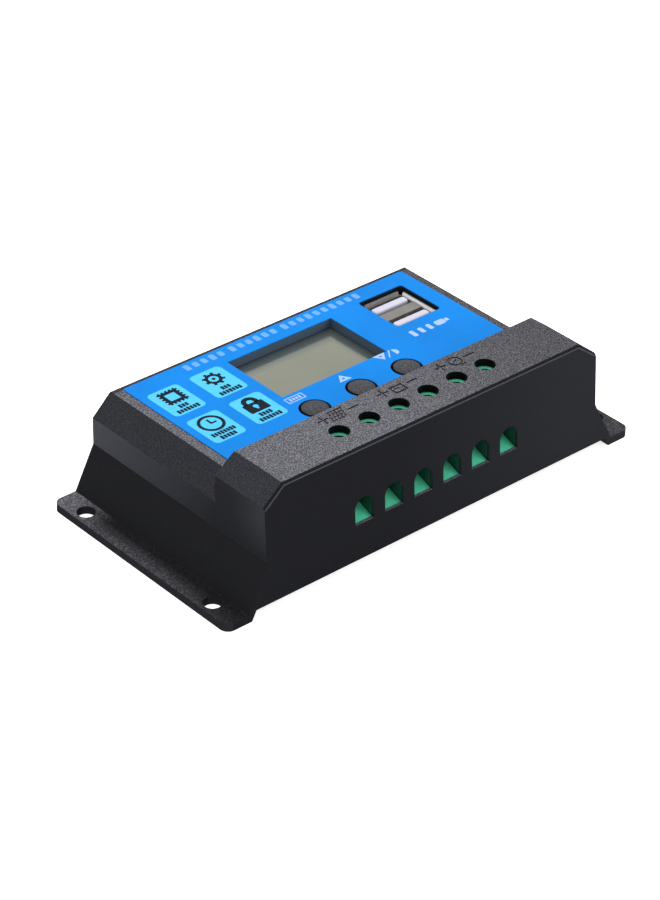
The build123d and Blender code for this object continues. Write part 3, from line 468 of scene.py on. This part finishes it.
def capacitor_sleeve(name):
    """Shrunk sleeve; the vented top is bare aluminium."""
    s = Surface(name, (0.012, 0.016, 0.04), 0.3)
    top = s.facing_up(0.6, 0.9)
    wrinkles = s.noise(1.4, detail=3.0, stretch=(1.0, 1.0, 0.2))
    sleeve = s.blend(s.ramp(wrinkles, 0.35, 0.7), (0.010, 0.013, 0.034), (0.02, 0.026, 0.06))
    s.color(s.blend(top, sleeve, (0.62, 0.63, 0.65)))
    s.feed(top, s.shader.inputs["Metallic"])
    s.roughness(s.ramp(wrinkles, 0.3, 0.7, 0.24, 0.38))
    s.bump(wrinkles, 0.02, edge_mm=0.2)
    return s.material


def chip_case(name):
    """Moulded epoxy with a soft matt grain."""
    s = Surface(name, (0.018, 0.018, 0.02), 0.5)
    cloud = s.ramp(s.noise(0.8, detail=4.0), 0.35, 0.7)
    s.color(s.blend(cloud, (0.014, 0.014, 0.016), (0.028, 0.028, 0.03)))
    s.roughness(s.ramp(s.noise(0.5, detail=3.0), 0.3, 0.7, 0.42, 0.6))
    s.bump(s.noise(0.25, detail=2.0), 0.006, edge_mm=0.1)
    return s.material


def make_materials():
    """One material for each slot of the record."""
    return {
        "housing_black": housing_plastic("housing_black", (0.0155, 0.016, 0.0198), (0.121, 0.121, 0.137)),
        "cover_black": moulded_case("cover_black", (0.016, 0.016, 0.018), (0.03, 0.03, 0.032), 0.5, 0.03),
        "key_black": moulded_case("key_black", (0.012, 0.012, 0.012), (0.060, 0.061, 0.069), 0.4, 0.04),
        "label_blue": label_film("label_blue", (0.0015, 0.212, 0.69)),
        "display_glass": display_cell("display_glass"),
        "display_frame_black": plain_moulding("display_frame_black", (0.012, 0.012, 0.013), 0.5),
        "light_guide": plain_moulding("light_guide", (0.72, 0.76, 0.7), 0.22, Coat_Weight=0.3),
        "terminal_green": terminal_plastic("terminal_green", (0.085, 0.60, 0.36)),
        "switch_black": plain_moulding("switch_black", (0.014, 0.014, 0.014), 0.45),
        "switch_plunger_brown": plain_moulding("switch_plunger_brown", (0.05, 0.028, 0.018), 0.42),
        "socket_white": plain_moulding(
            "socket_white", (0.57, 0.56, 0.67), 0.34, relief_mm=0.008, tone=0.93
        ),
        "socket_steel": socket_sheet("socket_steel"),
        "cage_steel": sheet_metal("cage_steel", (0.6, 0.6, 0.58), 0.32, brushed=(1.0, 0.15, 1.0)),
        "zinc_steel": zinc_screws("zinc_steel"),
        "tinned_contact": sheet_metal("tinned_contact", (0.72, 0.70, 0.65), 0.36, brushed=(1.0, 0.2, 1.0)),
        "contact_brass": sheet_metal("contact_brass", (0.83, 0.62, 0.26), 0.28, brushed=(1.0, 1.0, 0.2)),
        "bar_aluminium": sheet_metal("bar_aluminium", (0.76, 0.77, 0.78), 0.38, brushed=(0.1, 1.0, 1.0)),
        "board_green": solder_mask("board_green"),
        "chip_black": chip_case("chip_black"),
        "capacitor_sleeve": capacitor_sleeve("capacitor_sleeve"),
        "choke_copper": copper_winding("choke_copper"),
    }


def dress_nodes(materials):
    """Gives every CAD node the material of its slot."""
    for entry in frame["record"]["subparts"]:
        node = NODES[entry["node"]]
        if not node.material_slots:
            node.data.materials.append(materials[entry["material_slot"]])
        for holder in node.material_slots:
            holder.material = materials[entry["material_slot"]]


# ---------------------------------------------------------------- flat shapes for the printing
def circle(radius, count=48, centre=(0.0, 0.0), start=0.0, sweep=math.tau):
    """Points round a circle, or along an arc when sweep is under a full turn."""
    steps = count if sweep >= math.tau else count - 1
    return [
        (
            centre[0] + radius * math.cos(start + sweep * i / steps),
            centre[1] + radius * math.sin(start + sweep * i / steps),
        )
        for i in range(count)
    ]


def rounded_rectangle(width, height, radius, centre=(0.0, 0.0), corner_points=6):
    """Outline of a rectangle with round corners."""
    points = []
    for quarter, (side_x, side_y) in enumerate(((1, 1), (-1, 1), (-1, -1), (1, -1))):
        corner = (
            centre[0] + side_x * (width / 2 - radius),
            centre[1] + side_y * (height / 2 - radius),
        )
        points += circle(radius, corner_points, corner, quarter * math.pi / 2, math.pi / 2)
    return points


INK_THICKNESS = 0.03
TALL_TO_SHORT = 1.15         # the two heights of the blocks that stand for words


class Print:
    """Collects flat shapes, in millimetres on the label, and makes them one thin mesh."""

    def __init__(self, name, material, base_z, thickness=INK_THICKNESS):
        self.name, self.material = name, material
        self.low, self.high = (base_z - 0.01) * MM, (base_z + thickness) * MM
        self.mesh = bmesh.new()

    def rings(self, points, centre):
        lower, upper = [], []
        for x, y in points:
            place = ((centre[0] + x) * MM, (centre[1] + y) * MM)
            lower.append(self.mesh.verts.new((*place, self.low)))
            upper.append(self.mesh.verts.new((*place, self.high)))
        return lower, upper

    def walls(self, lower, upper):
        for i in range(len(lower)):
            j = (i + 1) % len(lower)
            self.mesh.faces.new((lower[i], lower[j], upper[j], upper[i]))

    def fill(self, points, centre=(0.0, 0.0)):
        """A solid patch inside an outline."""
        lower, upper = self.rings(points, centre)
        self.mesh.faces.new(upper)
        self.mesh.faces.new(lower[::-1])
        self.walls(lower, upper)

    def band(self, outer, inner, centre=(0.0, 0.0)):
        """A closed band between two outlines of the same number of points."""
        low_out, high_out = self.rings(outer, centre)
        low_in, high_in = self.rings(inner, centre)
        for i in range(len(outer)):
            j = (i + 1) % len(outer)
            self.mesh.faces.new((high_out[i], high_out[j], high_in[j], high_in[i]))
            self.mesh.faces.new((low_out[j], low_out[i], low_in[i], low_in[j]))
        self.walls(low_out, high_out)
        self.walls(low_in[::-1], high_in[::-1])

    def words(self, left, centre_y, height, lengths, pitch, gap, width=0.66):
        """Blocks that stand for words, one for each place; every third is a little taller."""
        x = left
        for length in lengths:
            for place in range(length):
                block_height = height / TALL_TO_SHORT if place % 3 else height
                block = rounded_rectangle(pitch * width, block_height, pitch * 0.14, corner_points=3)
                self.fill(block, (x + pitch / 2, centre_y))
                x += pitch
            x += gap

    def finish(self, body="housing"):
        bmesh.ops.recalc_face_normals(self.mesh, faces=self.mesh.faces)
        data = bpy.data.meshes.new(self.name)
        self.mesh.to_mesh(data)
        self.mesh.free()
        piece = bpy.data.objects.new(self.name, data)
        bpy.context.scene.collection.objects.link(piece)
        data.materials.append(self.material)
        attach(piece, body)
        return piece


# ---------------------------------------------------------------- label printing
LABEL_TOP = LABEL_HIGH.z
TILE_TOP = LABEL_TOP + INK_THICKNESS
LEFT = LABEL_LOW.x
BACK = LABEL_HIGH.y
TILE_SIZE = (9.6, 12.2)
TILE_COLUMNS = (LEFT + 6.9, LEFT + 20.1)
TILE_ROWS = (BACK - 12.3, BACK - 27.5)
ICON_RISE = 1.9              # icons sit this far behind their tile's middle


def tile_centres():
    return [(x, y) for y in TILE_ROWS for x in TILE_COLUMNS]


def print_tiles(material):
    tiles = Print("label_tiles", material, LABEL_TOP)
    for centre in tile_centres():
        tiles.fill(rounded_rectangle(*TILE_SIZE, 1.3), centre)
    return tiles.finish()


def chip_icon(marks, centre):
    """A square frame with short legs on all four sides."""
    side, thickness, legs = 5.2, 1.05, 5
    centre = (centre[0] + 0.3, centre[1])
    leg = rounded_rectangle(0.62, 0.62, 0.05, corner_points=2)
    outer = rounded_rectangle(side, side, 0.2, corner_points=3)
    inner = rounded_rectangle(side - 2 * thickness, side - 2 * thickness, 0.1, corner_points=3)
    marks.band(outer, inner, centre)
    for i in range(legs):
        offset = (i - (legs - 1) / 2) * 1.15
        for sign in (-1, 1):
            reach = sign * (side / 2 + 0.2)
            marks.fill(leg, (centre[0] + offset, centre[1] + reach))
            marks.fill(leg, (centre[0] + reach, centre[1] + offset))


def gear_icon(marks, centre):
    """A toothed ring with a dot in its middle."""
    teeth, steps = 8, 12
    outer = []
    for i in range(teeth * steps):
        angle = math.tau * i / (teeth * steps)
        on_tooth = i % steps in range(3, 8)
        radius = 2.95 if on_tooth else 2.25
        outer.append((radius * math.cos(angle), radius * math.sin(angle)))
    marks.band(outer, circle(1.35, teeth * steps), centre)
    marks.fill(circle(0.5, 20), centre)


def clock_icon(marks, centre):
    """A ring with two hands."""
    marks.band(circle(3.5, 64), circle(2.65, 64), centre)
    marks.fill([(-0.28, -0.28), (0.28, -0.28), (0.28, 1.9), (-0.28, 1.9)], centre)
    marks.fill([(0.2, -0.28), (1.6, -0.28), (1.6, 0.27), (0.2, 0.27)], centre)


def padlock_icon(marks, centre):
    """A block with a round shackle above it."""
    x, y = centre
    keyhole = circle(0.72, 48, (0.0, 0.35), math.pi / 8)
    for i, (px, py) in enumerate(keyhole):
        if abs(px) < 0.3 and py < 0.35:
            keyhole[i] = (px, -0.95)
    body = rounded_rectangle(6.0, 4.1, 0.35, corner_points=12)
    marks.band(body, keyhole, (x, y - 1.2))
    outer, inner = [
        [*circle(radius, 24, sweep=math.pi), (-radius, -0.8), (radius, -0.8)] for radius in (2.25, 0.95)
    ]
    marks.band(outer, inner, (x, y + 1.3))


def print_icons(material):
    """A symbol and two lines of blocks on each tile."""
    marks = Print("label_icons", material, TILE_TOP)
    symbols = (chip_icon, gear_icon, clock_icon, padlock_icon)
    lines = (((3,), (7,)), ((3,), (7,)), ((8,), (5,)), ((4,), (7,)))
    for symbol, (first, second), (x, y) in zip(symbols, lines, tile_centres()):
        symbol(marks, (x, y + ICON_RISE))
        for row, lengths in enumerate((first, second)):
            pitch = 0.96 if sum(lengths) < 8 else 0.9
            start = x - sum(lengths) * pitch / 2
            marks.words(start, y - 2.75 - row * 1.95, 1.6, lengths, pitch, 0.0, width=0.78)
    return marks.finish()


def print_title(material):
    """A line of pale blocks along the label's back edge."""
    title = Print("label_title", material, LABEL_TOP)
    title.words(LEFT + 17.0, BACK - 2.3, 2.5, (5, 6, 10), 2.68, 1.0, width=0.6)
    return title.finish()


def key_middle(number):
    low, high = box_in_mm(f"button_{number}")
    return (low + high) / 2


def print_key_marks(material):
    """A symbol behind each key."""
    marks = Print("label_key_marks", material, LABEL_TOP)
    first, second, third = [key_middle(number) for number in (1, 2, 3)]

    menu = (first.x - 0.85, first.y + 6.5)
    frame_outer = rounded_rectangle(5.5, 2.4, 0.12, corner_points=3)
    frame_inner = rounded_rectangle(4.9, 1.8, 0.08, corner_points=3)
    marks.band(frame_outer, frame_inner, menu)
    marks.words(menu[0] - 1.9, menu[1], 1.15, (4,), 0.95, 0.0)

    outer = [(-1.9, -1.42), (1.9, -1.42), (0.0, 1.43)]
    inner = [(-0.5, -0.75), (0.5, -0.75), (0.0, 0.2)]
    marks.band(outer, inner, (second.x - 0.75, second.y + 6.3))
    flipped = [[(x, -y) for x, y in corners[::-1]] for corners in (outer, inner)]
    marks.band(*flipped, (third.x - 1.75, third.y + 7.4))
    slash = [(-1.15, -1.35), (-0.7, -1.35), (1.2, 1.35), (0.75, 1.35)]
    marks.fill(slash, (third.x + 0.75, third.y + 7.45))
    marks.fill(circle(1.3, 28, start=-math.pi / 2, sweep=math.pi), (third.x + 2.3, third.y + 7.3))
    return marks.finish()


def print_socket_mark(material):
    """Three blocks and a plug symbol in front of the charging socket."""
    left, y = SOCKET_LOW.x - 0.8, SOCKET_LOW.y - 5.2
    mark = Print("label_socket_mark", material, LABEL_TOP)
    mark.words(left, y, 2.9, (3,), 2.75, 0.0, width=0.48)
    mark.fill(rounded_rectangle(3.2, 2.1, 0.6), (left + 10.4, y))
    mark.fill(rounded_rectangle(1.1, 1.3, 0.2), (left + 12.7, y))
    return mark.finish()


# ---------------------------------------------------------------- stage, light and camera
CAMERA_TARGET = Vector((-12.31, -6.90, 14.85)) * MM
CAMERA_DISTANCE = 723.6 * MM
CAMERA_AZIMUTH = math.radians(-42.042)
CAMERA_ELEVATION = math.radians(33.152)
CAMERA_ROLL = math.radians(1.443)
CAMERA_LENS = 118.54


def make_camera():
    data = bpy.data.cameras.new("camera")
    data.lens = CAMERA_LENS
    data.sensor_width = 36.0
    data.clip_start = 0.05
    data.clip_end = 20.0
    camera = bpy.data.objects.new("camera", data)
    bpy.context.scene.collection.objects.link(camera)
    back = Vector(
        (
            math.sin(CAMERA_AZIMUTH) * math.cos(CAMERA_ELEVATION),
            -math.cos(CAMERA_AZIMUTH) * math.cos(CAMERA_ELEVATION),
            math.sin(CAMERA_ELEVATION),
        )
    )
    right = (-back).cross(Vector((0, 0, 1))).normalized()
    up = right.cross(-back)
    axes = Matrix((right, up, back)).transposed()
    rolled = axes @ Matrix.Rotation(CAMERA_ROLL, 3, "Z")
    camera.matrix_world = Matrix.Translation(CAMERA_TARGET + back * CAMERA_DISTANCE) @ rolled.to_4x4()
    bpy.context.scene.camera = camera


def make_floor():
    """A pale disc under the object, hidden from reflections so that upright faces stay dark."""
    data = bpy.data.meshes.new("floor")
    mesh = bmesh.new()
    bmesh.ops.create_circle(mesh, cap_ends=True, radius=6.0, segments=96)
    mesh.to_mesh(data)
    mesh.free()
    floor = bpy.data.objects.new("floor", data)
    floor.location.z = (HOUSING_LOW.z - 0.1) * MM
    bpy.context.scene.collection.objects.link(floor)
    floor.visible_glossy = False
    s = Surface("floor", (0.93, 0.93, 0.93), 0.9, Specular_IOR_Level=0.0, Emission_Strength=0.75)
    s.shader.inputs["Emission Color"].default_value = (1.0, 1.0, 1.0, 1.0)
    cloud = s.ramp(s.noise(400.0, detail=2.0), 0.3, 0.7)
    s.color(s.blend(cloud, (0.92, 0.92, 0.925), (0.94, 0.94, 0.94)))
    data.materials.append(s.material)


def make_world():
    """Soft sky: bright overhead, dimmer at the horizon and dark below it."""
    world = bpy.data.worlds.new("studio")
    world.use_nodes = True
    tree = world.node_tree
    background = tree.nodes["Background"]
    coordinates = tree.nodes.new("ShaderNodeTexCoord")
    split = tree.nodes.new("ShaderNodeSeparateXYZ")
    ramp = tree.nodes.new("ShaderNodeValToRGB")
    tree.links.new(coordinates.outputs["Generated"], split.inputs[0])
    shifted = tree.nodes.new("ShaderNodeMapRange")
    shifted.inputs["From Min"].default_value = -1.0
    tree.links.new(split.outputs["Z"], shifted.inputs["Value"])
    tree.links.new(shifted.outputs["Result"], ramp.inputs["Fac"])
    stops = ramp.color_ramp.elements
    stops[0].position, stops[0].color = 0.40, (0.10, 0.10, 0.11, 1)
    stops[1].position, stops[1].color = 0.56, (0.62, 0.63, 0.66, 1)
    for position, level in ((0.75, 0.85), (1.0, 1.0)):
        stop = stops.new(position)
        stop.color = (level, level, level, 1)
    tree.links.new(ramp.outputs["Color"], background.inputs["Color"])
    background.inputs["Strength"].default_value = 0.75
    bpy.context.scene.world = world


def soft_light(name, location, target, size, power):
    """A large lamp, hidden from reflections so that metal and glass mirror only the sky."""
    data = bpy.data.lights.new(name, "AREA")
    data.shape = "RECTANGLE"
    data.size, data.size_y = size
    data.energy = power
    light = bpy.data.objects.new(name, data)
    light.location = location
    light.rotation_euler = (Vector(target) - Vector(location)).to_track_quat("-Z", "Y").to_euler()
    light.visible_glossy = False
    bpy.context.scene.collection.objects.link(light)


def make_lights():
    soft_light("overhead", (0.1, 0.25, 1.1), (0.0, 0.0, 0.0), (0.9, 0.9), 11.0)
    soft_light("front fill", (0.5, -1.0, 0.3), (0.0, 0.0, 0.015), (0.7, 0.5), 5.0)


# ---------------------------------------------------------------- build
def main():
    materials = make_materials()
    dress_nodes(materials)
    print_tiles(ink("ink_cyan", (0.085, 0.52, 0.86)))
    print_icons(ink("ink_black", (0.006, 0.013, 0.020)))
    pale = ink("ink_pale", (0.36, 0.50, 0.76))
    print_title(ink("ink_title", (0.14, 0.36, 0.80)))
    print_key_marks(pale)
    print_socket_mark(pale)
    make_floor()
    make_world()
    make_lights()
    make_camera()
    bpy.context.scene.view_settings.view_transform = "Standard"


main()
